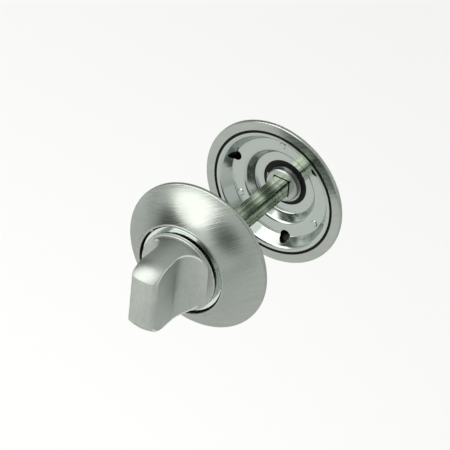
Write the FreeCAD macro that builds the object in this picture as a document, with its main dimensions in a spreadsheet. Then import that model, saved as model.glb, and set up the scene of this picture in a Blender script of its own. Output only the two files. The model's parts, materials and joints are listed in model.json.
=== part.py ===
import FreeCAD, Part
import math
import os
from collections import namedtuple
from types import SimpleNamespace

import Sketcher

# Bathroom turn and release set. A thumb turn on one face of the door and a coin release on the other
# share a square spindle that works the bolt case between them.
#
# Each half is drawn in its own frame: the turning axis is local Z, pointing out of the door, and the
# door face is local Z = 0. The finished part has Z up, the axis along Y and the thumb turn facing -Y.

# Driving sizes in millimetres, angles in degrees.
SIZES = {
    "door_thickness": 44.0,
    # Flared cover
    "rose_radius": 26.5,
    "rose_edge": 1.4,
    "rose_height": 11.5,
    "rose_wall": 1.2,
    "flare_radius": 18.0,
    "lip_width": 0.8,
    "edge_round": 0.5,
    # Ring that grips the plate and holds the cover
    "ring_width": 1.0,
    "ring_recess": 0.5,
    "ring_height": 1.5,
    "ring_hook": 0.2,
    "snap_clearance": 0.02,
    # Dished fixing plate
    "plate_thickness": 0.8,
    "plate_rim": 1.2,
    "cover_clearance": 0.26,
    "first_step_run": 2.6,
    "first_step_depth": 4.0,
    "second_step_run": 2.1,
    "second_step_depth": 3.6,
    "hub_flat_radius": 11.6,
    "bend_round": 0.6,
    "screw_inset": 0.2,
    "screw_hole_radius": 1.8,
    "screw_hole_angle": 16.5,
    "pip_inset": 1.6,
    "pip_radius": 0.95,
    "pip_height": 0.3,
    "pip_slope": 45.0,
    "pip_angle": 72.5,
    # Bush, washer and retaining ring
    "bush_wall": 2.3,
    "bush_chamfer": 0.2,
    "bush_clearance": 0.05,
    "washer_thickness": 1.9,
    "washer_gap": 0.5,
    "washer_clearance": 0.3,
    "circlip_thickness": 0.8,
    "circlip_width": 1.15,
    "circlip_opening": 7.6,
    "circlip_angle": 50.0,
    "groove_depth": 0.5,
    "groove_clearance": 0.05,
    "end_float": 0.1,
    # Hub shared by the thumb turn and the release turn
    "boss_radius": 6.0,
    "boss_proud": 2.6,
    "boss_chamfer": 0.4,
    "running_clearance": 0.05,
    # Thumb turn: round flange and domed body, scooped on two sides into a blade
    "turn_radius": 14.2,
    "turn_gap": 1.6,
    "shoulder_height": 2.5,
    "shoulder_width": 1.0,
    "turn_height": 34.7,
    "dome_length": 7.6,
    "dome_radius": 8.75,
    "scoop_inset": 1.8,
    "blade_waist": 4.5,
    "blade_waist_height": 8.5,
    "nose_half_width": 5.05,
    "nose_bulge": 0.85,
    "nose_side_round": 2.0,
    "blade_edge_round": 0.6,
    # Release turn: domed disc with a coin slot
    "release_disc_height": 2.6,
    "release_dome_radius": 60.0,
    "release_edge_round": 0.5,
    "coin_slot_width": 2.0,
    "coin_slot_length": 13.0,
    "coin_slot_depth": 2.0,
    "release_socket_depth": 5.8,
    "release_socket_clearance": 0.25,
    # Square spindle and the grub screw that holds it
    "spindle_size": 6.0,
    "spindle_chamfer": 0.5,
    "spindle_reach": 4.2,
    "spindle_clearance": 0.05,
    "spindle_end_gap": 0.4,
    "spindle_past_grub": 2.0,
    "grub_radius": 1.45,
    "grub_clearance": 0.05,
    "grub_length": 8.6,
    "grub_rise": 2.35,
    "grub_point": 0.6,
    "grub_key_radius": 0.75,
    "grub_key_depth": 1.5,
    "contact_clearance": 0.02,
}

FULL_TURN = 360
HALF_TURN = 180
QUARTER_TURN = 90
HOLES_PER_PLATE = 3
KEY_SIDES = 6
LIP_ROUND_SHARE = 0.45
FLANGE_ROUND_SHARE = 0.35
BODY_FILLET_SHARE = 0.5
CUT_MARGIN = 2.0
MATCH = 1e-4

# How a sketch numbers its axes, its origin and the points of a line or an arc.
X_AXIS = -1
Y_AXIS = -2
ORIGIN = (-1, 1)
START = 1
END = 2
CENTRE = 3

doc = FreeCAD.newDocument("turn_and_release_set")
sheet = doc.addObject("Spreadsheet::Sheet", "Sizes")
for row, (name, number) in enumerate(SIZES.items(), start=1):
    sheet.set(f"A{row}", name)
    sheet.set(f"B{row}", str(number))
    sheet.setAlias(f"B{row}", name)
doc.recompute()


class Size:
    """A length or an angle: its number, and the sheet expression that drives it."""

    def __init__(self, text, value):
        self.text = text
        self.value = value

    def __add__(self, other):
        other = as_size(other)
        return Size(f"({self.text} + {other.text})", self.value + other.value)

    def __sub__(self, other):
        other = as_size(other)
        return Size(f"({self.text} - {other.text})", self.value - other.value)

    def __rsub__(self, other):
        return as_size(other) - self

    def __mul__(self, other):
        other = as_size(other)
        return Size(f"({self.text} * {other.text})", self.value * other.value)

    def __truediv__(self, other):
        other = as_size(other)
        return Size(f"({self.text} / {other.text})", self.value / other.value)

    def __neg__(self):
        return Size(f"(-{self.text})", -self.value)

    def root(self):
        return Size(f"sqrt({self.text})", math.sqrt(self.value))

    def cosine(self):
        return Size(f"cos({self.text})", math.cos(math.radians(self.value)))

    def sine(self):
        return Size(f"sin({self.text})", math.sin(math.radians(self.value)))


def as_size(item):
    return item if isinstance(item, Size) else Size(str(item), float(item))


mm = SimpleNamespace(**{name: Size(f"Sizes.{name}", number) for name, number in SIZES.items()})
zero = as_size(0)

# Levels along the axis, measured out from the door face.
plate_floor = mm.first_step_depth
hub_floor = mm.first_step_depth + mm.second_step_depth
plate_face = hub_floor + mm.plate_thickness
washer_face = plate_face + mm.washer_thickness
flange_back = washer_face + mm.running_clearance
boss_end = hub_floor - mm.boss_proud
circlip_top = hub_floor - mm.end_float
groove_top = circlip_top + mm.groove_clearance
groove_bottom = circlip_top - mm.circlip_thickness - mm.groove_clearance
shoulder = flange_back + mm.shoulder_height
grub_level = shoulder + mm.grub_rise
thumb_socket_top = grub_level + mm.spindle_past_grub

# Radii that more than one piece shares.
lip_bore = mm.turn_radius + mm.turn_gap
bush_bore = mm.boss_radius + mm.bush_clearance
bush_radius = bush_bore + mm.bush_wall
groove_radius = mm.boss_radius - mm.groove_depth
spindle_half = mm.spindle_size / 2

# The thumb half faces -Y. The release half is swung round to face +Y on the far side of the door.
FACE_THUMB_SIDE = FreeCAD.Rotation(FreeCAD.Vector(1, 0, 0), QUARTER_TURN)
FACE_RELEASE_SIDE = FreeCAD.Rotation(FreeCAD.Vector(0, 1, 1), HALF_TURN)

Corner = namedtuple("Corner", "x y radius centre_side", defaults=(None, None))
LEFT = 1
RIGHT = -1


def new_body(name):
    body = doc.addObject("PartDesign::Body", name)
    body.Label = name
    return body


def stand(body, side):
    """Put a finished piece on its face of the door."""
    if side == "thumb":
        body.Placement = FreeCAD.Placement(FreeCAD.Vector(), FACE_THUMB_SIDE)
    else:
        body.Placement = FreeCAD.Placement(FreeCAD.Vector(), FACE_RELEASE_SIDE)
        body.setExpression("Placement.Base.y", mm.door_thickness.text)


def new_sketch(body, name, role, height=None, turn=None):
    """A sketch on one of the body's own origin planes, raised along the plane's normal and turned."""
    plane = next(item for item in body.Origin.OriginFeatures if item.Role == role)
    sketch = body.newObject("Sketcher::SketchObject", name)
    sketch.AttachmentSupport = [(plane, "")]
    sketch.MapMode = "FlatFace"
    if height is not None:
        sketch.setExpression("AttachmentOffset.Base.z", height.text)
    if turn is not None:
        sketch.setExpression("AttachmentOffset.Rotation.Angle", turn.text)
    return sketch


def bind(sketch, kind, *where, size):
    index = sketch.addConstraint(Sketcher.Constraint(kind, *where, size.value))
    sketch.setExpression(f"Constraints[{index}]", size.text)


def pin(sketch, geometry, point, x, y):
    """Fix a point at its distances from the sketch's origin."""
    for kind, size, axis in (("DistanceX", x, Y_AXIS), ("DistanceY", y, X_AXIS)):
        if size.value > MATCH:
            bind(sketch, kind, *ORIGIN, geometry, point, size=size)
        elif size.value < -MATCH:
            bind(sketch, kind, geometry, point, *ORIGIN, size=-size)
        else:
            sketch.addConstraint(Sketcher.Constraint("PointOnObject", geometry, point, axis))


def arc_centre(start, end, radius, side):
    """Centre of the shorter arc between two corners, on the left or right of the way between them."""
    run = end.x - start.x
    rise = end.y - start.y
    chord = (run * run + rise * rise).root()
    offset = (radius * radius - chord * chord / 4).root() * side / chord
    return (start.x + end.x) / 2 - rise * offset, (start.y + end.y) / 2 + run * offset


def outline(sketch, corners):
    """A closed outline through the corners. A corner with a radius starts an arc."""
    ends = []
    for index, start in enumerate(corners):
        end = corners[(index + 1) % len(corners)]
        first = FreeCAD.Vector(start.x.value, start.y.value)
        last = FreeCAD.Vector(end.x.value, end.y.value)
        if start.radius is None:
            ends.append((sketch.addGeometry(Part.LineSegment(first, last)), START, END))
            continue
        middle_x, middle_y = arc_centre(start, end, start.radius, start.centre_side)
        middle = FreeCAD.Vector(middle_x.value, middle_y.value)
        circle = Part.Circle(middle, FreeCAD.Vector(0, 0, 1), start.radius.value)
        angles = [math.atan2(spot.y - middle.y, spot.x - middle.x) for spot in (first, last)]
        if start.centre_side == LEFT:
            ends.append((sketch.addGeometry(Part.ArcOfCircle(circle, *angles)), START, END))
        else:
            ends.append((sketch.addGeometry(Part.ArcOfCircle(circle, *reversed(angles))), END, START))
    for index, (corner, (geometry, start_point, end_point)) in enumerate(zip(corners, ends)):
        following, following_start, _ = ends[(index + 1) % len(ends)]
        joint = Sketcher.Constraint("Coincident", geometry, end_point, following, following_start)
        sketch.addConstraint(joint)
        pin(sketch, geometry, start_point, corner.x, corner.y)
        if corner.radius is not None:
            bind(sketch, "Radius", geometry, size=corner.radius)


def round_hole(sketch, x, y, radius):
    circle = Part.Circle(FreeCAD.Vector(x.value, y.value), FreeCAD.Vector(0, 0, 1), radius.value)
    geometry = sketch.addGeometry(circle)
    bind(sketch, "Radius", geometry, size=radius)
    pin(sketch, geometry, CENTRE, x, y)


def rectangle(sketch, left, bottom, right, top):
    outline(sketch, [Corner(left, bottom), Corner(right, bottom), Corner(right, top), Corner(left, top)])


def add_feature(body, kind, name, sketch=None):
    feature = body.newObject(f"PartDesign::{kind}", name)
    if sketch is not None:
        feature.Profile = sketch
    body.Tip = feature
    return feature


def revolve(body, name, corners):
    """Turn a profile, given as radius and height, about the axis."""
    sketch = new_sketch(body, f"{name}_profile", "XZ_Plane")
    outline(sketch, corners)
    turned = add_feature(body, "Revolution", name, sketch)
    turned.ReferenceAxis = (sketch, ["V_Axis"])
    turned.Angle = FULL_TURN
    doc.recompute()
    return turned


def pad(body, name, sketch, length):
    solid = add_feature(body, "Pad", name, sketch)
    solid.setExpression("Length", length.text)
    doc.recompute()
    return solid


def pocket(body, name, sketch, depth=None, reverse=False, both_ways=False):
    """Cut a sketch into the body, right through where no depth is given, and check that it cut."""
    before = body.Shape.Volume
    cut = add_feature(body, "Pocket", name, sketch)
    cut.Reversed = reverse
    if both_ways:
        cut.SideType = "Symmetric"
    if depth is None:
        cut.Type = "ThroughAll"
    else:
        cut.setExpression("Length", depth.text)
    doc.recompute()
    if body.Shape.Volume > before - MATCH:
        raise RuntimeError(f"{name} cut nothing")
    return cut


def repeat_round(body, name, sketch, features, count):
    pattern = add_feature(body, "PolarPattern", name)
    pattern.Originals = features
    pattern.Axis = (sketch, ["N_Axis"])
    pattern.Angle = FULL_TURN
    pattern.Occurrences = count
    body.Tip = pattern
    doc.recompute()
    return pattern


def circle_edges(feature, rims):
    """Names of the round edges at the given radius and height."""
    names = []
    for index, edge in enumerate(feature.Shape.Edges, start=1):
        if edge.Degenerated or not isinstance(edge.Curve, Part.Circle):
            continue
        for radius, height in rims:
            same_radius = abs(edge.Curve.Radius - radius.value) < MATCH
            if same_radius and abs(edge.Curve.Center.z - height.value) < MATCH:
                names.append(f"Edge{index}")
    return names


def soften(body, kind, name, feature, edges, size):
    """Fillet or chamfer the named edges."""
    softened = add_feature(body, kind, name)
    softened.Base = (feature, edges)
    softened.setExpression("Radius" if kind == "Fillet" else "Size", size.text)
    doc.recompute()
    return softened


# Flare of the cover: one hollow arc from the rim's edge up to the lip, and its inner face a wall below.
flare_foot = Corner(mm.rose_radius, mm.rose_edge, mm.flare_radius, RIGHT)
flare_lip = Corner(lip_bore + mm.lip_width, mm.rose_height)
flare_x, flare_y = arc_centre(flare_foot, flare_lip, mm.flare_radius, RIGHT)
inner_flare = mm.flare_radius + mm.rose_wall


def flare_height(radius):
    reach = radius - flare_x
    return flare_y - (inner_flare * inner_flare - reach * reach).root()


def flare_reach(height):
    drop = flare_y - height
    return flare_x - (inner_flare * inner_flare - drop * drop).root()


# The plate's first step stands a clearance inside the cover. The plate's edge and the rim follow from it.
floor_face = plate_floor + mm.plate_thickness
step_foot = flare_reach(floor_face) - mm.plate_thickness - mm.cover_clearance
step_top = step_foot + mm.first_step_run
plate_radius = step_top + mm.plate_rim
rim_bore = plate_radius + mm.ring_width


# Flared cover: an even wall that rises from a flat, turned-in rim to a rolled lip round the knob.
def rose(side):
    body = new_body(f"{side}_rose")
    ring_seat = mm.ring_height + mm.snap_clearance
    shell = revolve(body, f"{side}_rose_shell", [
        Corner(rim_bore, zero),
        Corner(mm.rose_radius, zero),
        flare_foot,
        flare_lip,
        Corner(lip_bore, mm.rose_height),
        Corner(lip_bore, flare_height(lip_bore), inner_flare, LEFT),
        Corner(flare_reach(ring_seat), ring_seat),
        Corner(rim_bore, ring_seat),
    ])
    lip_edges = circle_edges(shell, [(flare_lip.x, flare_lip.y), (lip_bore, mm.rose_height)])
    lip_round = mm.lip_width * LIP_ROUND_SHARE
    rolled = soften(body, "Fillet", f"{side}_rose_lip", shell, lip_edges, lip_round)
    rim_edges = circle_edges(rolled, [(flare_foot.x, flare_foot.y), (mm.rose_radius, zero)])
    soften(body, "Fillet", f"{side}_rose_rim", rolled, rim_edges, mm.edge_round)
    stand(body, side)
    return body


# Nylon ring: a band inside the cover's rim with a hook that lies on the plate's edge.
def rose_ring(side):
    body = new_body(f"{side}_rose_ring")
    inner = plate_radius + mm.snap_clearance
    hook = plate_radius - mm.ring_hook
    outer = rim_bore - mm.snap_clearance
    hook_back = mm.plate_thickness + mm.snap_clearance
    revolve(body, f"{side}_ring_band", [
        Corner(inner, mm.ring_recess),
        Corner(outer, mm.ring_recess),
        Corner(outer, mm.ring_height),
        Corner(hook, mm.ring_height),
        Corner(hook, hook_back),
        Corner(inner, hook_back),
    ])
    stand(body, side)
    return body


# Pressed steel plate: flat rim, two steps outward, screw holes at the first step and a hub hole.
def plate(side):
    body = new_body(f"{side}_plate")

    def bend_shift(run, rise):
        """How far an outer corner lies beyond the inner one when a sheet of even thickness is bent."""
        slope = (run * run + rise * rise).root()
        return mm.plate_thickness * (slope - run) / rise

    rise_foot = mm.hub_flat_radius + mm.second_step_run
    first_shift = bend_shift(mm.first_step_run, mm.first_step_depth)
    second_shift = bend_shift(mm.second_step_run, mm.second_step_depth)
    sheet_metal = revolve(body, f"{side}_plate_pressing", [
        Corner(plate_radius, zero),
        Corner(plate_radius, mm.plate_thickness),
        Corner(step_top + first_shift, mm.plate_thickness),
        Corner(step_foot + first_shift, floor_face),
        Corner(rise_foot + second_shift, floor_face),
        Corner(mm.hub_flat_radius + second_shift, plate_face),
        Corner(bush_radius, plate_face),
        Corner(bush_radius, hub_floor),
        Corner(mm.hub_flat_radius, hub_floor),
        Corner(rise_foot, plate_floor),
        Corner(step_foot, plate_floor),
        Corner(step_top, zero),
    ])
    tight = [
        (step_top + first_shift, mm.plate_thickness),
        (step_foot, plate_floor),
        (rise_foot + second_shift, floor_face),
        (mm.hub_flat_radius, hub_floor),
    ]
    wide = [
        (step_top, zero),
        (step_foot + first_shift, floor_face),
        (rise_foot, plate_floor),
        (mm.hub_flat_radius + second_shift, plate_face),
    ]
    tight_edges = circle_edges(sheet_metal, tight)
    inside = soften(body, "Fillet", f"{side}_plate_inside_bends", sheet_metal, tight_edges, mm.bend_round)
    wide_edges = circle_edges(inside, wide)
    wide_round = mm.bend_round + mm.plate_thickness
    soften(body, "Fillet", f"{side}_plate_outside_bends", inside, wide_edges, wide_round)

    # The screw holes of the two plates line up through the door.
    hole_angle = mm.screw_hole_angle if side == "release" else HALF_TURN - mm.screw_hole_angle
    holes = new_sketch(body, f"{side}_screw_hole_sketch", "XY_Plane", turn=hole_angle)
    round_hole(holes, step_foot - mm.screw_inset, zero, mm.screw_hole_radius)
    hole = pocket(body, f"{side}_screw_hole", holes, reverse=True)
    repeat_round(body, f"{side}_screw_holes", holes, [hole], HOLES_PER_PLATE)

    pip_base = plate_floor - mm.pip_height
    pips = new_sketch(body, f"{side}_pip_sketch", "XY_Plane", pip_base, hole_angle + mm.pip_angle)
    round_hole(pips, step_foot - mm.pip_inset, zero, mm.pip_radius)
    pip = pad(body, f"{side}_pip", pips, mm.pip_height)
    pip.setExpression("TaperAngle", mm.pip_slope.text)
    doc.recompute()
    repeat_round(body, f"{side}_pips", pips, [pip], HOLES_PER_PLATE)
    stand(body, side)
    return body


# Nylon bush: a sleeve in the plate's centre hole, held between the washer and the retaining ring.
def bush(side):
    body = new_body(f"{side}_bush")
    barrel = bush_radius - mm.snap_clearance
    revolve(body, f"{side}_bush_sleeve", [
        Corner(bush_bore, hub_floor),
        Corner(barrel - mm.bush_chamfer, hub_floor),
        Corner(barrel, hub_floor + mm.bush_chamfer),
        Corner(barrel, plate_face),
        Corner(bush_bore, plate_face),
    ])
    stand(body, side)
    return body


# Thick flat washer: the bright floor of the gap between knob and cover.
def washer(side):
    body = new_body(f"{side}_washer")
    bore = mm.boss_radius + mm.washer_clearance
    edge = lip_bore - mm.washer_gap
    sketch = new_sketch(body, f"{side}_washer_sketch", "XY_Plane", plate_face)
    round_hole(sketch, zero, zero, edge)
    round_hole(sketch, zero, zero, bore)
    pad(body, f"{side}_washer_blank", sketch, mm.washer_thickness)
    stand(body, side)
    return body


# Retaining ring: an open ring sprung into the hub's groove.
def circlip(side):
    body = new_body(f"{side}_circlip")
    bottom = circlip_top - mm.circlip_thickness
    bore = groove_radius + mm.groove_clearance
    edge = bore + mm.circlip_width
    ring_sketch = new_sketch(body, f"{side}_circlip_ring_sketch", "XY_Plane", bottom)
    round_hole(ring_sketch, zero, zero, edge)
    round_hole(ring_sketch, zero, zero, bore)
    pad(body, f"{side}_circlip_ring", ring_sketch, mm.circlip_thickness)

    half_opening = mm.circlip_opening / 2
    turn = mm.circlip_angle - QUARTER_TURN
    cut_sketch = new_sketch(body, f"{side}_circlip_opening_sketch", "XY_Plane", bottom, turn)
    rectangle(cut_sketch, -half_opening, zero, half_opening, edge + CUT_MARGIN)
    pocket(body, f"{side}_circlip_opening", cut_sketch, reverse=True)
    stand(body, side)
    return body


def hub_corners():
    """Lower half of a turn's profile: the hub with its chamfered end and ring groove."""
    return [
        Corner(zero, boss_end),
        Corner(mm.boss_radius - mm.boss_chamfer, boss_end),
        Corner(mm.boss_radius, boss_end + mm.boss_chamfer),
        Corner(mm.boss_radius, groove_bottom),
        Corner(groove_radius, groove_bottom),
        Corner(groove_radius, groove_top),
        Corner(mm.boss_radius, groove_top),
        Corner(mm.boss_radius, flange_back),
        Corner(mm.turn_radius, flange_back),
    ]


def square_socket(body, name, half, depth):
    sketch = new_sketch(body, f"{name}_sketch", "XY_Plane", boss_end)
    rectangle(sketch, -half, -half, half, half)
    pocket(body, name, sketch, depth=depth, reverse=True)


def tangent_radius(run, rise):
    """Radius of an arc that leaves a straight line smoothly and moves aside by run over a length of rise."""
    return (run * run + rise * rise) / (run * 2)


# Thumb turn: hub, flange and domed body in one casting, scooped out on both sides into an upright blade.
def thumb_turn():
    body = new_body("thumb_turn")
    body_radius = mm.turn_radius - mm.shoulder_width
    flange_round = mm.shoulder_width * FLANGE_ROUND_SHARE
    dome_foot = mm.turn_height - mm.dome_length
    dome_top = dome_foot + mm.dome_radius
    revolve(body, "thumb_turn_blank", hub_corners() + [
        Corner(mm.turn_radius, shoulder - flange_round, flange_round, LEFT),
        Corner(mm.turn_radius - flange_round, shoulder),
        Corner(body_radius, shoulder),
        Corner(body_radius, dome_foot, mm.dome_radius, LEFT),
        Corner(body_radius - mm.dome_radius, dome_top),
        Corner(zero, dome_top),
    ])

    beyond = mm.turn_radius + CUT_MARGIN
    above = dome_top + CUT_MARGIN
    scoop_foot = body_radius - mm.scoop_inset
    waist = shoulder + mm.blade_waist_height
    scoop_radius = tangent_radius(scoop_foot - mm.blade_waist, mm.blade_waist_height)
    nose_corner = mm.turn_height - mm.nose_bulge
    nose_radius = tangent_radius(mm.nose_bulge, mm.nose_half_width)
    blade = new_sketch(body, "blade_sketch", "XZ_Plane")
    outline(blade, [
        Corner(scoop_foot, shoulder, scoop_radius, RIGHT),
        Corner(mm.blade_waist, waist),
        Corner(mm.nose_half_width, nose_corner, nose_radius, LEFT),
        Corner(-mm.nose_half_width, nose_corner),
        Corner(-mm.blade_waist, waist, scoop_radius, RIGHT),
        Corner(-scoop_foot, shoulder),
        Corner(-beyond, shoulder),
        Corner(-beyond, above),
        Corner(beyond, above),
        Corner(beyond, shoulder),
    ])
    cut = pocket(body, "blade_scoops", blade, both_ways=True)

    corner_edges = []
    for index, edge in enumerate(cut.Shape.Edges, start=1):
        spot = edge.CenterOfMass
        level = abs(spot.z - nose_corner.value) < MATCH
        if level and abs(abs(spot.x) - mm.nose_half_width.value) < MATCH:
            corner_edges.append(f"Edge{index}")
    nose = soften(body, "Fillet", "nose_corners", cut, corner_edges, mm.nose_side_round)

    blade_edges = []
    for index, edge in enumerate(nose.Shape.Edges, start=1):
        spot = edge.CenterOfMass
        level = spot.z > shoulder.value + MATCH
        if level and abs(spot.y) > MATCH and not isinstance(edge.Curve, Part.Circle):
            blade_edges.append(f"Edge{index}")
    blade_rim = soften(body, "Fillet", "blade_edges", nose, blade_edges, mm.blade_edge_round)
    foot_edges = circle_edges(blade_rim, [(body_radius, shoulder)])
    body_fillet = mm.shoulder_width * BODY_FILLET_SHARE
    soften(body, "Fillet", "blade_feet", blade_rim, foot_edges, body_fillet)

    square_socket(body, "thumb_socket", spindle_half + mm.spindle_clearance, thumb_socket_top - boss_end)
    grub_hole = new_sketch(body, "grub_hole_sketch", "XZ_Plane")
    round_hole(grub_hole, zero, grub_level, mm.grub_radius + mm.grub_clearance)
    pocket(body, "grub_hole", grub_hole, depth=beyond, reverse=True)
    stand(body, "thumb")
    return body


# Release turn: the same hub under a domed disc, slotted for a coin.
def release_turn():
    body = new_body("release_turn")
    edge_top = flange_back + mm.release_disc_height
    dome = mm.release_dome_radius
    crown = edge_top + dome - (dome * dome - mm.turn_radius * mm.turn_radius).root()
    corners = hub_corners()
    corners.append(Corner(mm.turn_radius, edge_top, dome, LEFT))
    corners.append(Corner(zero, crown))
    blank = revolve(body, "release_blank", corners)
    rim = circle_edges(blank, [(mm.turn_radius, edge_top)])
    soften(body, "Fillet", "release_edge", blank, rim, mm.release_edge_round)
    slot = new_sketch(body, "coin_slot_sketch", "XY_Plane", crown)
    half_length = mm.coin_slot_length / 2
    half_width = mm.coin_slot_width / 2
    rectangle(slot, -half_width, -half_length, half_width, half_length)
    pocket(body, "coin_slot", slot, depth=mm.coin_slot_depth)
    socket_half = spindle_half + mm.release_socket_clearance
    square_socket(body, "release_socket", socket_half, mm.release_socket_depth)
    stand(body, "release")
    return body


# Square bar from the bottom of the thumb turn's socket, through the door, into the release hub.
def spindle():
    body = new_body("spindle")
    far_end = -(mm.door_thickness + boss_end + mm.spindle_reach)
    near_end = thumb_socket_top - mm.spindle_end_gap
    sketch = new_sketch(body, "spindle_section", "XY_Plane", far_end)
    rectangle(sketch, -spindle_half, -spindle_half, spindle_half, spindle_half)
    bar = pad(body, "spindle_bar", sketch, near_end - far_end)
    every_edge = [f"Edge{index}" for index in range(1, len(bar.Shape.Edges) + 1)]
    soften(body, "Chamfer", "spindle_corners", bar, every_edge, mm.spindle_chamfer)
    stand(body, "thumb")
    return body


# Grub screw: comes up from under the knob and bears on the flat of the spindle.
def spindle_screw():
    body = new_body("spindle_screw")
    tip = -(spindle_half + mm.contact_clearance)
    back = tip - mm.grub_length
    profile = new_sketch(body, "grub_profile", "XY_Plane", grub_level)
    outline(profile, [
        Corner(zero, back),
        Corner(mm.grub_radius, back),
        Corner(mm.grub_radius, tip - mm.grub_point),
        Corner(mm.grub_radius - mm.grub_point, tip),
        Corner(zero, tip),
    ])
    turned = add_feature(body, "Revolution", "grub_turned", profile)
    turned.ReferenceAxis = (profile, ["V_Axis"])
    turned.Angle = FULL_TURN
    doc.recompute()
    key = new_sketch(body, "grub_key_sketch", "XZ_Plane", -back)
    corners = []
    for side in range(KEY_SIDES):
        angle = as_size(FULL_TURN * side / KEY_SIDES)
        level = grub_level + mm.grub_key_radius * angle.sine()
        corners.append(Corner(mm.grub_key_radius * angle.cosine(), level))
    outline(key, corners)
    pocket(body, "grub_key", key, depth=mm.grub_key_depth)
    stand(body, "thumb")
    return body


pieces = []
for half in ("thumb", "release"):
    for make in (rose, rose_ring, plate, bush, washer, circlip):
        pieces.append(make(half))
pieces.append(thumb_turn())
pieces.append(release_turn())
pieces.append(spindle())
pieces.append(spindle_screw())
doc.recompute()

for item in doc.Objects:
    if "Invalid" in item.State or "Error" in item.State:
        raise RuntimeError(f"{item.Label} failed: {item.State}")
for piece in pieces:
    if piece.Shape.isNull() or not piece.Shape.isValid() or len(piece.Shape.Solids) != 1:
        raise RuntimeError(f"{piece.Label} is not one valid solid")

os.makedirs("parts", exist_ok=True)
for piece in pieces:
    piece.Shape.exportStep(f"parts/{piece.Label}.step")
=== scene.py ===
import json
import math

import bpy
from mathutils import Matrix, Vector


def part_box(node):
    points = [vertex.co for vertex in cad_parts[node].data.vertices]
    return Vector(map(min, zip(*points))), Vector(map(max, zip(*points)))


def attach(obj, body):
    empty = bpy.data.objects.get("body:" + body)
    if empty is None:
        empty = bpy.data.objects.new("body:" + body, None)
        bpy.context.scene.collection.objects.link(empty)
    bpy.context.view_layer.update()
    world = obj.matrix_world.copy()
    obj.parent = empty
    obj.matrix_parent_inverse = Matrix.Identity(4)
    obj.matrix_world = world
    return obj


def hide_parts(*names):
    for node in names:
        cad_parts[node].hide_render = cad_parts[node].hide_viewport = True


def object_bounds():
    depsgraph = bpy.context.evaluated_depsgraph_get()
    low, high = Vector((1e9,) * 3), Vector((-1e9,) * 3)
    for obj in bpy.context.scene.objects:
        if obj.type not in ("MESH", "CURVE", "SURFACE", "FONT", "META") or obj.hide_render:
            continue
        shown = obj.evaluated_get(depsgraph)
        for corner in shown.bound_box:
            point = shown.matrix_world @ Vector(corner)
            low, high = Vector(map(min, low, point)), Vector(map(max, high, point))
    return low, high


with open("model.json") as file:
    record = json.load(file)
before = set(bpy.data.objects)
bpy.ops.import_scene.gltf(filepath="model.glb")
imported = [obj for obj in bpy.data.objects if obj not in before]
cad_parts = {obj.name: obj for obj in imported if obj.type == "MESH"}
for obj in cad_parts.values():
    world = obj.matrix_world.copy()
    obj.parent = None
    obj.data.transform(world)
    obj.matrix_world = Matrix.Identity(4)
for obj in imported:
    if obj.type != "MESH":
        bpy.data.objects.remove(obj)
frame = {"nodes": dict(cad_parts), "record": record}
cad_low, cad_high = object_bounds()


# Fixing plates: one behind each rose, screwed to the door before anything else goes on.
# Pressed from thin sheet in two steps and bright plated, so they mirror what stands near them.
# The press leaves faint ripples and the plating a few dull specks; the walls of the punched holes
# are painted near black as painted shade.
class Wire:
    """A node socket. Sums and products on it add Math nodes to its tree."""

    def __init__(self, tree, socket=None):
        self.tree = tree
        self.socket = socket

    def node(self, kind, settings, values, output=0):
        """Adds one node: its settings first, then the values or links of its sockets."""
        added = self.tree.nodes.new(kind)
        for name, value in settings.items():
            setattr(added, name, value)
        for name, value in values.items():
            if isinstance(value, Wire):
                self.tree.links.new(value.socket, added.inputs[name])
            else:
                added.inputs[name].default_value = value
        return Wire(self.tree, added.outputs[output] if added.outputs else None)

    def shade(self, kind, settings, values, output=0):
        return self.node("ShaderNode" + kind, settings, values, output)

    def math(self, operation, *terms):
        return self.shade("Math", {"operation": operation}, dict(enumerate(terms)))

    def __add__(self, other):
        return self.math("ADD", self, other)

    __radd__ = __add__

    def __sub__(self, other):
        return self.math("SUBTRACT", self, other)

    def __rsub__(self, other):
        return self.math("SUBTRACT", other, self)

    def __mul__(self, other):
        return self.math("MULTIPLY", self, other)

    __rmul__ = __mul__

    def __truediv__(self, other):
        return self.math("DIVIDE", self, other)


MM = 0.001


def new_finish(name):
    """A new material, and a wire of its surface's place on the object, in metres."""
    finish = bpy.data.materials.new(name)
    finish.use_nodes = True
    finish.node_tree.nodes.clear()
    place = Wire(finish.node_tree).shade("TexCoord", {}, {}, "Object")
    return finish, place


def marks(place, size, detail, turn=(0.0, 0.0, 0.0)):
    """Noise from 0 to 1 with marks of that size, in millimetres, along axes that may be turned."""
    scale = [length * MM for length in size]
    drawn = place.shade(
        "Mapping",
        {"vector_type": "TEXTURE"},
        {"Vector": place, "Rotation": turn, "Scale": scale},
    )
    return drawn.shade("TexNoise", {}, {"Vector": drawn, "Scale": 1.0, "Detail": detail})


def blend_colours(share, first, second):
    """The first colour at share 0 and the second at share 1."""
    return share.shade("Mix", {"data_type": "RGBA"}, {0: share, 6: first, 7: second}, 2)


def ramp(value, start, full):
    """0 up to start and 1 from full on, in either direction."""
    return value.shade("MapRange", {}, {"Value": value, "From Min": start, "From Max": full})


def bump(height, depth):
    """A normal that tilts as height does; depth is in millimetres for height 0 to 1."""
    return height.shade("Bump", {}, {"Height": height, "Distance": depth * MM})


def surface(colour, sockets):
    """Closes the tree with one surface of that colour and those other sockets."""
    shader = colour.shade("BsdfPrincipled", {}, {"Base Color": colour, **sockets})
    shader.shade("OutputMaterial", {}, {"Surface": shader})


def metal(colour, roughness, normal, edge=1.0):
    """A metal surface; edge is what it keeps of its glare at grazing angles."""
    sockets = {
        "Metallic": 1.0,
        "Roughness": roughness,
        "Specular Tint": (edge, edge, edge, 1.0),
        "Normal": normal,
    }
    surface(colour, sockets)


def dress(finish, *nodes):
    """Gives CAD nodes a finish."""
    for name in nodes:
        frame["nodes"][name].material_slots[0].material = finish


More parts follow.
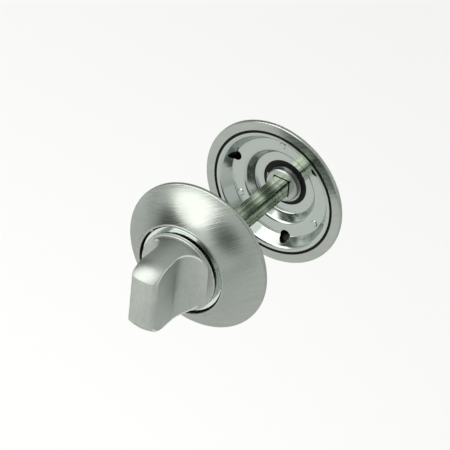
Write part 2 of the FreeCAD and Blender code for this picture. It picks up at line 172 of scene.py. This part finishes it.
def flatten(place):
    """The place seen along the lock's axis."""
    values = {0: place, 1: (1.0, 0.0, 1.0)}
    return place.shade("VectorMath", {"operation": "MULTIPLY"}, values)


def from_axis(place, centre=(0.0, 0.0, 0.0)):
    """Distance of the surface from a line along the lock's axis, through centre."""
    flat = flatten(place)
    return flat.shade("VectorMath", {"operation": "DISTANCE"}, {0: flat, 1: centre}, "Value")


PLATE_CLEAN = (0.365, 0.405, 0.38, 1.0)
PLATE_DULL = (0.31, 0.35, 0.325, 1.0)
PLATE_ROUGHNESS = 0.13
RIPPLE_SIZE = (9.0, 9.0, 9.0)
RIPPLE_DEPTH = 0.05
SPECK_SIZE = (0.7, 0.7, 0.7)
SPECK_LIMITS = (0.62, 0.78)
SPECK_ROUGHNESS = 0.08
HOLE_SHADE = (0.012, 0.013, 0.012, 1.0)
HOLE_ROUGHNESS = 0.4
HOLE_SOFTNESS = 0.05 * MM
FIRST_HOLE_ANGLE = 163.5
plate_finish, place = new_finish("bright_plate")
ripple = marks(place, RIPPLE_SIZE, detail=2.0)
specks = ramp(marks(place, SPECK_SIZE, detail=4.0), *SPECK_LIMITS)
mounts = {mount["name"]: mount["dims"] for mount in frame["record"]["mounts"]}
pattern = mounts["release_screw_holes"]
hole_radius = pattern["hole_r_mm"] * MM
circle_radius = pattern["pcd_mm"] / 2 * MM
to_hole = None
for hole in range(pattern["count"]):
    angle = math.radians(FIRST_HOLE_ANGLE + 360 * hole / pattern["count"])
    centre = (circle_radius * math.cos(angle), 0.0, circle_radius * math.sin(angle))
    distance = from_axis(place, centre)
    to_hole = to_hole.math("MINIMUM", to_hole, distance) if to_hole else distance
# The walls of the screw holes are painted near black: painted shade.
in_hole = ramp(to_hole, hole_radius + 2 * HOLE_SOFTNESS, hole_radius + HOLE_SOFTNESS)
plated = blend_colours(specks, PLATE_CLEAN, PLATE_DULL)
metal(
    blend_colours(in_hole, plated, HOLE_SHADE),
    PLATE_ROUGHNESS + SPECK_ROUGHNESS * specks + HOLE_ROUGHNESS * in_hole,
    bump(ripple, RIPPLE_DEPTH),
)
dress(plate_finish, "thumb_plate", "release_plate")

# Cover rings and bushes: the ring grips the plate's edge and lets the rose snap on, the bush
# lines the plate's bore so that the hub turns quietly. Both are moulded black nylon with a fine
# eroded grain, a little paler where the tool has polished it.
NYLON_DEEP = (0.004, 0.004, 0.004, 1.0)
NYLON_WORN = (0.012, 0.013, 0.012, 1.0)
NYLON_ROUGHNESS = 0.42
NYLON_GLOSS = 0.12
GRAIN_SIZE = (0.38, 0.38, 0.38)
GRAIN_DEPTH = 0.02
PATCH_SIZE = (4.0, 4.0, 4.0)
PATCH_ROUGHNESS = 0.2
nylon_finish, place = new_finish("black_nylon")
grain = marks(place, GRAIN_SIZE, detail=2.0)
patches = marks(place, PATCH_SIZE, detail=2.0)
surface(
    blend_colours(patches, NYLON_DEEP, NYLON_WORN),
    {
        "Roughness": NYLON_ROUGHNESS + PATCH_ROUGHNESS * patches,
        "Specular IOR Level": NYLON_GLOSS,
        "Normal": bump(grain, GRAIN_DEPTH),
    },
)
dress(nylon_finish, "thumb_rose_ring", "release_rose_ring", "thumb_bush", "release_bush")

# Washers: thick discs between plate and turn, the bright floor of the gap round the knob.
# Turned from bar and plated, so fine rings run round them under the shine.
WASHER_CLEAN = (0.62, 0.67, 0.64, 1.0)
WASHER_DULL = (0.54, 0.59, 0.56, 1.0)
WASHER_ROUGHNESS = 0.05
TURNING_PITCH = 0.25 * MM
TURNING_DEPTH = 0.001
TURNING_ROUGHNESS = 0.06
washer_finish, place = new_finish("polished_plate")
rings = place.shade(
    "TexNoise",
    {"noise_dimensions": "1D"},
    {"W": from_axis(place) / TURNING_PITCH, "Scale": 1.0},
)
metal(
    blend_colours(rings, WASHER_DULL, WASHER_CLEAN),
    WASHER_ROUGHNESS + TURNING_ROUGHNESS * rings,
    bump(rings, TURNING_DEPTH),
)
dress(washer_finish, "thumb_washer", "release_washer")


# Thumb turn and release turn: zinc castings, ground along the blade and satin nickel plated.
# The hub of each goes through its bush from the front. The grinding shows as short upright
# strokes, the flange's wall is left bright from the lathe, and fingers polish the blade's edges
# smoother; the pale line along those edges is a painted highlight.
def part_of(vector, axis):
    """One coordinate of a vector."""
    return vector.shade("SeparateXYZ", {}, {"Vector": vector}, axis)


TURN_PALE = (0.425, 0.456, 0.425, 1.0)
TURN_DARK = (0.318, 0.347, 0.322, 1.0)
TURN_EDGE_HIGHLIGHT = (0.72, 0.75, 0.71, 1.0)
TURN_BRIGHT = (0.43, 0.47, 0.445, 1.0)
TURN_ROUGHNESS = 0.36
NICKEL_EDGE = 0.75
STROKE_SIZE = (0.4, 0.4, 1.8)
STROKE_DEPTH = 0.02
STROKE_ROUGHNESS = 0.08
STROKE_SHARE = 0.55
TURN_CLOUD_SIZE = (10.0, 10.0, 10.0)
GROUND_LIMITS = (0.3, 0.7)
BODY_RADIUS = 13.2 * MM
DOME_RADIUS = 8.75 * MM
DOME_LENGTH = 7.6 * MM
EDGE_BAND_NEAR = (0.05 * MM, 0.15 * MM)
EDGE_BAND_DEEP = (0.6 * MM, 0.3 * MM)
WEAR_SMOOTHER = 0.24
BLADE_FOOT = (13.4 * MM, 13.9 * MM)
NOSE_CORNER = (33.6 * MM, 32.8 * MM)
WALL_RADIUS = (14.05 * MM, 14.15 * MM)
WALL_BACK = (9.5 * MM, 9.6 * MM)
WALL_FRONT = (12.5 * MM, 12.3 * MM)
WALL_SMOOTHER = 0.28
turn_finish, place = new_finish("satin_nickel_ground")
strokes = marks(place, STROKE_SIZE, detail=3.0)
turn_clouds = marks(place, TURN_CLOUD_SIZE, detail=3.0)
stand = part_of(place, "Y") * -1.0
turn_radius = from_axis(place)

# The blade's edges lie a little under the dome that the casting's nose is part of.
turn_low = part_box("thumb_turn")[0]
past_dome = stand.math("MAXIMUM", stand + (turn_low.y + DOME_LENGTH), 0.0)
past_axis = stand.math("MAXIMUM", turn_radius - (BODY_RADIUS - DOME_RADIUS), 0.0)
sunk = DOME_RADIUS - stand.math("SQRT", past_axis * past_axis + past_dome * past_dome)
on_edge = ramp(sunk, *EDGE_BAND_NEAR) * ramp(sunk, *EDGE_BAND_DEEP) * ramp(stand, *BLADE_FOOT)
# The pale colour laid along the blade's edges is a painted highlight, the glint of their rounding.
painted_edge_highlight = on_edge * ramp(stand, *NOSE_CORNER)
on_wall = ramp(turn_radius, *WALL_RADIUS) * ramp(stand, *WALL_BACK) * ramp(stand, *WALL_FRONT)

ground = ramp(STROKE_SHARE * strokes + (1 - STROKE_SHARE) * turn_clouds, *GROUND_LIMITS)
ground_colour = blend_colours(ground, TURN_DARK, TURN_PALE)
highlighted_colour = blend_colours(painted_edge_highlight, ground_colour, TURN_EDGE_HIGHLIGHT)
metal(
    blend_colours(on_wall, highlighted_colour, TURN_BRIGHT),
    TURN_ROUGHNESS
    + STROKE_ROUGHNESS * strokes
    - WEAR_SMOOTHER * on_edge
    - WALL_SMOOTHER * on_wall,
    bump(strokes, STROKE_DEPTH),
    NICKEL_EDGE,
)
dress(turn_finish, "thumb_turn", "release_turn")

# Retaining rings: stamped from spring steel strip, sprung into the hub's groove behind the plate.
# Left plain, so they are greyer than the plate and carry faint rolling lines.
SPRING_PALE = (0.45, 0.46, 0.45, 1.0)
SPRING_DARK = (0.22, 0.23, 0.22, 1.0)
SPRING_ROUGHNESS = 0.26
ROLLING_SIZE = (0.55, 0.55, 11.0)
ROLLING_DEPTH = 0.01
ROLLING_ROUGHNESS = 0.16
spring_finish, place = new_finish("spring_steel")
rolling = marks(place, ROLLING_SIZE, detail=3.0)
metal(
    blend_colours(rolling, SPRING_DARK, SPRING_PALE),
    SPRING_ROUGHNESS + ROLLING_ROUGHNESS * rolling,
    bump(rolling, ROLLING_DEPTH),
)
dress(spring_finish, "thumb_circlip", "release_circlip")

# Spindle: a length of 6 mm square bar that goes through the lock case. It is cold drawn, so its
# lines run lengthwise, and yellow zinc plated, which comes out a little uneven along the bar.
ZINC_PALE = (0.66, 0.71, 0.6, 1.0)
ZINC_DARK = (0.16, 0.205, 0.155, 1.0)
ZINC_ROUGHNESS = 0.12
FINE_LINE_SIZE = (0.45, 150.0, 0.45)
FINE_LINE_SHARE = 0.5
FINE_LINE_ROUGHNESS = 0.12
BROAD_LINE_SIZE = (1.6, 300.0, 1.6)
BROAD_LINE_SHARE = 0.45
UNEVEN_SIZE = (40.0, 12.0, 40.0)
UNEVEN_SHARE = 0.05
DRAWN_LIMITS = (0.38, 0.62)
DRAWN_DEPTH = 0.02
spindle_finish, place = new_finish("zinc_steel")
fine_lines = marks(place, FINE_LINE_SIZE, detail=1.0)
broad_lines = marks(place, BROAD_LINE_SIZE, detail=0.0)
uneven = marks(place, UNEVEN_SIZE, detail=2.0)
drawn_lines = (
    FINE_LINE_SHARE * fine_lines + BROAD_LINE_SHARE * broad_lines + UNEVEN_SHARE * uneven
)
metal(
    blend_colours(ramp(drawn_lines, *DRAWN_LIMITS), ZINC_DARK, ZINC_PALE),
    ZINC_ROUGHNESS + FINE_LINE_ROUGHNESS * fine_lines,
    bump(drawn_lines, DRAWN_DEPTH),
)
dress(spindle_finish, "spindle")

# Grub screw: goes up through the knob from below and nips the spindle. Blackened steel with a
# rolled thread, a cone point and a hexagon socket in the end that shows.
BLACKED_PALE = (0.09, 0.09, 0.09, 1.0)
BLACKED_DARK = (0.025, 0.025, 0.026, 1.0)
BLACKED_ROUGHNESS = 0.3
MOTTLE_SIZE = (0.6, 0.6, 0.6)
MOTTLE_DEPTH = 0.008
MOTTLE_ROUGHNESS = 0.2
THREAD_PITCH = 0.5 * MM
THREAD_DEPTH = 0.3 * MM
THREAD_FLANK = (0.08, 0.42)
THREAD_SIDES = 48
STEPS_PER_PITCH = 8
POINT_LENGTH = 0.6 * MM
KEY_SIDES = 6
KEY_RADIUS = 0.75 * MM
KEY_DEPTH = 1.5 * MM
screw_finish, place = new_finish("dark_steel")
mottle = marks(place, MOTTLE_SIZE, detail=3.0)
metal(
    blend_colours(mottle, BLACKED_DARK, BLACKED_PALE),
    BLACKED_ROUGHNESS + MOTTLE_ROUGHNESS * mottle,
    bump(mottle, MOTTLE_DEPTH),
)

screw_low, screw_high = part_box("spindle_screw")
screw_middle = (screw_low + screw_high) / 2
screw_sizes = {
    "Radius": (screw_high.x - screw_low.x) / 2,
    "Length": screw_high.z - screw_low.z,
}
screw_tree = bpy.data.node_groups.new("grub_screw", "GeometryNodeTree")
screw_tree.is_modifier = True
identifiers = {}
for name in screw_sizes:
    socket = screw_tree.interface.new_socket(name, in_out="INPUT", socket_type="NodeSocketFloat")
    identifiers[name] = socket.identifier
screw_tree.interface.new_socket("Geometry", in_out="OUTPUT", socket_type="NodeSocketGeometry")
build = Wire(screw_tree)
entry = screw_tree.nodes.new("NodeGroupInput")
screw_radius = Wire(screw_tree, entry.outputs["Radius"])
screw_length = Wire(screw_tree, entry.outputs["Length"])

# The blank's side is drawn in to the thread's wave, which dies out at both ends, and to the point.
spot = build.node("GeometryNodeInputPosition", {}, {})
spot_x = part_of(spot, "X")
spot_y = part_of(spot, "Y")
height = part_of(spot, "Z") + screw_length * 0.5
turns = spot.math("ARCTAN2", spot_y, spot_x) / (2 * math.pi)
wave = spot.math("PINGPONG", height / THREAD_PITCH - turns, 0.5)
shank_length = screw_length - POINT_LENGTH
run_in = ramp(height, 0.0, THREAD_PITCH)
run_out = ramp(shank_length - height, 0.0, THREAD_PITCH)
crest = ramp(wave, *THREAD_FLANK) * run_in * run_out
taper = spot.math("MAXIMUM", height - shank_length, 0.0)
side = (screw_radius - THREAD_DEPTH + THREAD_DEPTH * crest - taper) / screw_radius
blank = build.node(
    "GeometryNodeMeshCylinder",
    {},
    {
        "Vertices": THREAD_SIDES,
        "Side Segments": round(screw_sizes["Length"] / THREAD_PITCH * STEPS_PER_PITCH),
        "Radius": screw_radius,
        "Depth": screw_length,
    },
)
threaded_spot = build.shade(
    "CombineXYZ", {}, {"X": spot_x * side, "Y": spot_y * side, "Z": height}
)
threaded = build.node(
    "GeometryNodeSetPosition", {}, {"Geometry": blank, "Position": threaded_spot}
)
key = build.node(
    "GeometryNodeMeshCylinder",
    {},
    {"Vertices": KEY_SIDES, "Radius": KEY_RADIUS, "Depth": 2 * KEY_DEPTH},
)
socketed = build.node(
    "GeometryNodeMeshBoolean",
    {"operation": "DIFFERENCE"},
    {"Mesh 1": threaded, "Mesh 2": key},
)
placed = build.node(
    "GeometryNodeTransform",
    {},
    {"Geometry": socketed, "Translation": (screw_middle.x, screw_middle.y, screw_low.z)},
)
realized = build.node("GeometryNodeRealizeInstances", {}, {"Geometry": placed})
finished = build.node(
    "GeometryNodeSetMaterial", {}, {"Geometry": realized, "Material": screw_finish}
)
build.node("NodeGroupOutput", {}, {"Geometry": finished})

screw = bpy.data.objects.new("grub_screw", bpy.data.meshes.new("grub_screw_blank"))
bpy.context.scene.collection.objects.link(screw)
modifier = screw.modifiers.new("grub_screw", "NODES")
modifier.node_group = screw_tree
for name, value in screw_sizes.items():
    modifier[identifiers[name]] = value
evaluated = screw.evaluated_get(bpy.context.evaluated_depsgraph_get())
screw_mesh = bpy.data.meshes.new_from_object(evaluated)
screw.modifiers.remove(modifier)
screw.data = screw_mesh
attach(screw, "thumb_turn")
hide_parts("spindle_screw")

# Roses: the flared covers that snap over the rings last. Pressed brass, brushed by hand across
# the flare and satin nickel plated; the brush leaves fine hairs and broader bands, all aslant.
# The inside is painted near black as painted shade and made rough; the flat rim that meets the
# door is smoother than the flare.
ROSE_PALE = (0.352, 0.381, 0.352, 1.0)
ROSE_DARK = (0.298, 0.327, 0.302, 1.0)
ROSE_ROUGHNESS = 0.2
BRUSH_ASLANT = (0.0, math.radians(-25), 0.0)
BRUSH_DEPTH = 0.06
BRUSH_SHARE = 0.8
BRUSH_LIMITS = (0.32, 0.68)
HAIR_SIZE = (8.0, 8.0, 0.3)
HAIR_ROUGHNESS = 0.14
BAND_SIZE = (12.0, 12.0, 1.1)
ROSE_CLOUD_SIZE = (12.0, 12.0, 12.0)
INSIDE_SHADE = (0.045, 0.042, 0.034, 1.0)
INSIDE_ROUGHNESS = 0.35
DOOR_MIDDLE = 22 * MM
FACES_DOOR = (-0.02, -0.1)
FACES_AXIS = (-0.6, -0.85)
RIM_INSIDE = (21.5 * MM, 21.45 * MM)
RIM_SMOOTHER = 0.14
RIM_FLATTER = 0.8
rose_finish, place = new_finish("satin_nickel_brushed")
hairs = marks(place, HAIR_SIZE, detail=2.0, turn=BRUSH_ASLANT)
bands = marks(place, BAND_SIZE, detail=2.0, turn=BRUSH_ASLANT)
rose_clouds = marks(place, ROSE_CLOUD_SIZE, detail=3.0)
brushing = (hairs + bands) / 2

# How far the surface faces away from the door, and away from the lock's axis.
facing = place.shade("NewGeometry", {}, {}, "Normal")
along = part_of(place, "Y")
outward = part_of(facing, "Y") * along.math("SIGN", along - DOOR_MIDDLE)
rose_radius = from_axis(place)
facing_out = {0: facing, 1: flatten(place)}
away = place.shade("VectorMath", {"operation": "DOT_PRODUCT"}, facing_out, "Value") / rose_radius
behind = ramp(outward, *FACES_DOOR)
within_rim = ramp(rose_radius, *RIM_INSIDE)
# The rose's inside, facing the door or the axis, is painted near black: painted shade.
painted_inside_shade = behind.math("MAXIMUM", behind, ramp(away, *FACES_AXIS)) * within_rim
door_rim = behind * (1 - within_rim)

brushed = ramp(BRUSH_SHARE * brushing + (1 - BRUSH_SHARE) * rose_clouds, *BRUSH_LIMITS)
brushed_colour = blend_colours(brushed, ROSE_DARK, ROSE_PALE)
metal(
    blend_colours(painted_inside_shade, brushed_colour, INSIDE_SHADE),
    ROSE_ROUGHNESS
    + HAIR_ROUGHNESS * hairs
    + INSIDE_ROUGHNESS * painted_inside_shade
    - RIM_SMOOTHER * door_rim,
    bump(brushing * (1 - RIM_FLATTER * door_rim), BRUSH_DEPTH),
    NICKEL_EDGE,
)
dress(rose_finish, "thumb_rose", "release_rose")

# Studio: a pale floor well below the part and a white tent round it, one large soft window up to
# the left of the camera, a glow overhead, a shaded back, and the tent's two dark openings: one
# round the camera and one at the far left.
FLOOR_DROP = 0.22
FLOOR_REACH = 4.0
PAPER_DARK = (0.9, 0.905, 0.9, 1.0)
PAPER_PALE = (0.92, 0.925, 0.92, 1.0)
PAPER_ROUGHNESS = 0.9
PAPER_MARK_SIZE = (330.0, 330.0, 330.0)
bpy.ops.mesh.primitive_plane_add(size=2 * FLOOR_REACH, location=(0, 0, 0))
floor = bpy.context.object
floor.name = "floor"
floor.data.transform(Matrix.Translation((0, 0, cad_low.z - FLOOR_DROP)))
floor_finish, place = new_finish("floor_paper")
paper = marks(place, PAPER_MARK_SIZE, detail=2.0)
surface(blend_colours(paper, PAPER_DARK, PAPER_PALE), {"Roughness": PAPER_ROUGHNESS})
floor.data.materials.append(floor_finish)


def toward(azimuth, elevation):
    """The direction at that azimuth from the front, to the right, and height, in degrees."""
    turn = math.radians(azimuth)
    rise = math.radians(elevation)
    return Vector(
        (
            math.sin(turn) * math.cos(rise),
            -math.cos(turn) * math.cos(rise),
            math.sin(rise),
        )
    )


def opening(view, azimuth, elevation, core, reach, depth):
    """What is left of the light: less by depth within core degrees, all of it past reach."""
    facing = view.shade(
        "VectorMath",
        {"operation": "DOT_PRODUCT"},
        {0: view, 1: toward(azimuth, elevation)},
        "Value",
    )
    inside = ramp(facing, math.cos(math.radians(reach)), math.cos(math.radians(core)))
    return 1 - depth * inside


TENT_LIGHT = 0.96
TENT_WHITE = (0.98, 1.0, 0.985, 1.0)
tent = bpy.data.worlds.new("tent")
tent.use_nodes = True
tent.node_tree.nodes.clear()
view = Wire(tent.node_tree).shade("TexCoord", {}, {}, "Generated")
camera_opening = opening(view, azimuth=37, elevation=34, core=10, reach=33, depth=0.8)
side_opening = opening(view, azimuth=-100, elevation=34, core=16, reach=42, depth=0.82)
back_shade = opening(view, azimuth=-155, elevation=38, core=15, reach=60, depth=0.22)
overhead_glow = opening(view, azimuth=30, elevation=74, core=6, reach=32, depth=-0.6)
tent_light = TENT_LIGHT * (camera_opening * side_opening * back_shade * overhead_glow)
glow = view.shade("Background", {}, {"Color": TENT_WHITE, "Strength": tent_light})
glow.shade("OutputWorld", {}, {"Surface": glow})
bpy.context.scene.world = tent

WINDOW_SIDE = toward(azimuth=-37, elevation=42)
WINDOW_DISTANCE = 1.0
WINDOW_WIDTH = 1.1
WINDOW_HEIGHT = 1.4
WINDOW_LIGHT = 2.2
WINDOW_WARM = (1.0, 0.945, 0.92)
window_area = math.pi / 4 * WINDOW_WIDTH * WINDOW_HEIGHT
window = bpy.data.lights.new("window", "AREA")
window.shape = "ELLIPSE"
window.size = WINDOW_WIDTH
window.size_y = WINDOW_HEIGHT
window.color = WINDOW_WARM
window.energy = WINDOW_LIGHT * window_area * math.pi
lamp = bpy.data.objects.new("window", window)
lamp.location = WINDOW_SIDE * WINDOW_DISTANCE
lamp.rotation_euler = WINDOW_SIDE.to_track_quat("Z", "Y").to_euler()
bpy.context.scene.collection.objects.link(lamp)

# Camera: a long lens at the photograph's angle, a little rolled. It aims slightly to the right of
# and above the frame's origin, and its field has this width where the part is.
CAMERA_AZIMUTH = 29.993
CAMERA_ELEVATION = 36.174
CAMERA_ROLL = math.radians(5.761)
CAMERA_DISTANCE = 1.8
FIELD_WIDTH = 0.14677
AIM_RIGHT = 0.008308
AIM_UP = 0.009449
back = toward(CAMERA_AZIMUTH, CAMERA_ELEVATION)
level = toward(CAMERA_AZIMUTH + 90, 0)
upright = back.cross(level)
right = level * math.cos(CAMERA_ROLL) + upright * math.sin(CAMERA_ROLL)
up = upright * math.cos(CAMERA_ROLL) - level * math.sin(CAMERA_ROLL)
lens = bpy.data.cameras.new("camera")
lens.lens = lens.sensor_width * CAMERA_DISTANCE / FIELD_WIDTH
camera = bpy.data.objects.new("camera", lens)
camera.location = right * AIM_RIGHT + up * AIM_UP + back * CAMERA_DISTANCE
camera.rotation_euler = Matrix((right, up, back)).transposed().to_euler()
bpy.context.scene.collection.objects.link(camera)
bpy.context.scene.camera = camera
bpy.context.scene.view_settings.view_transform = "Standard"
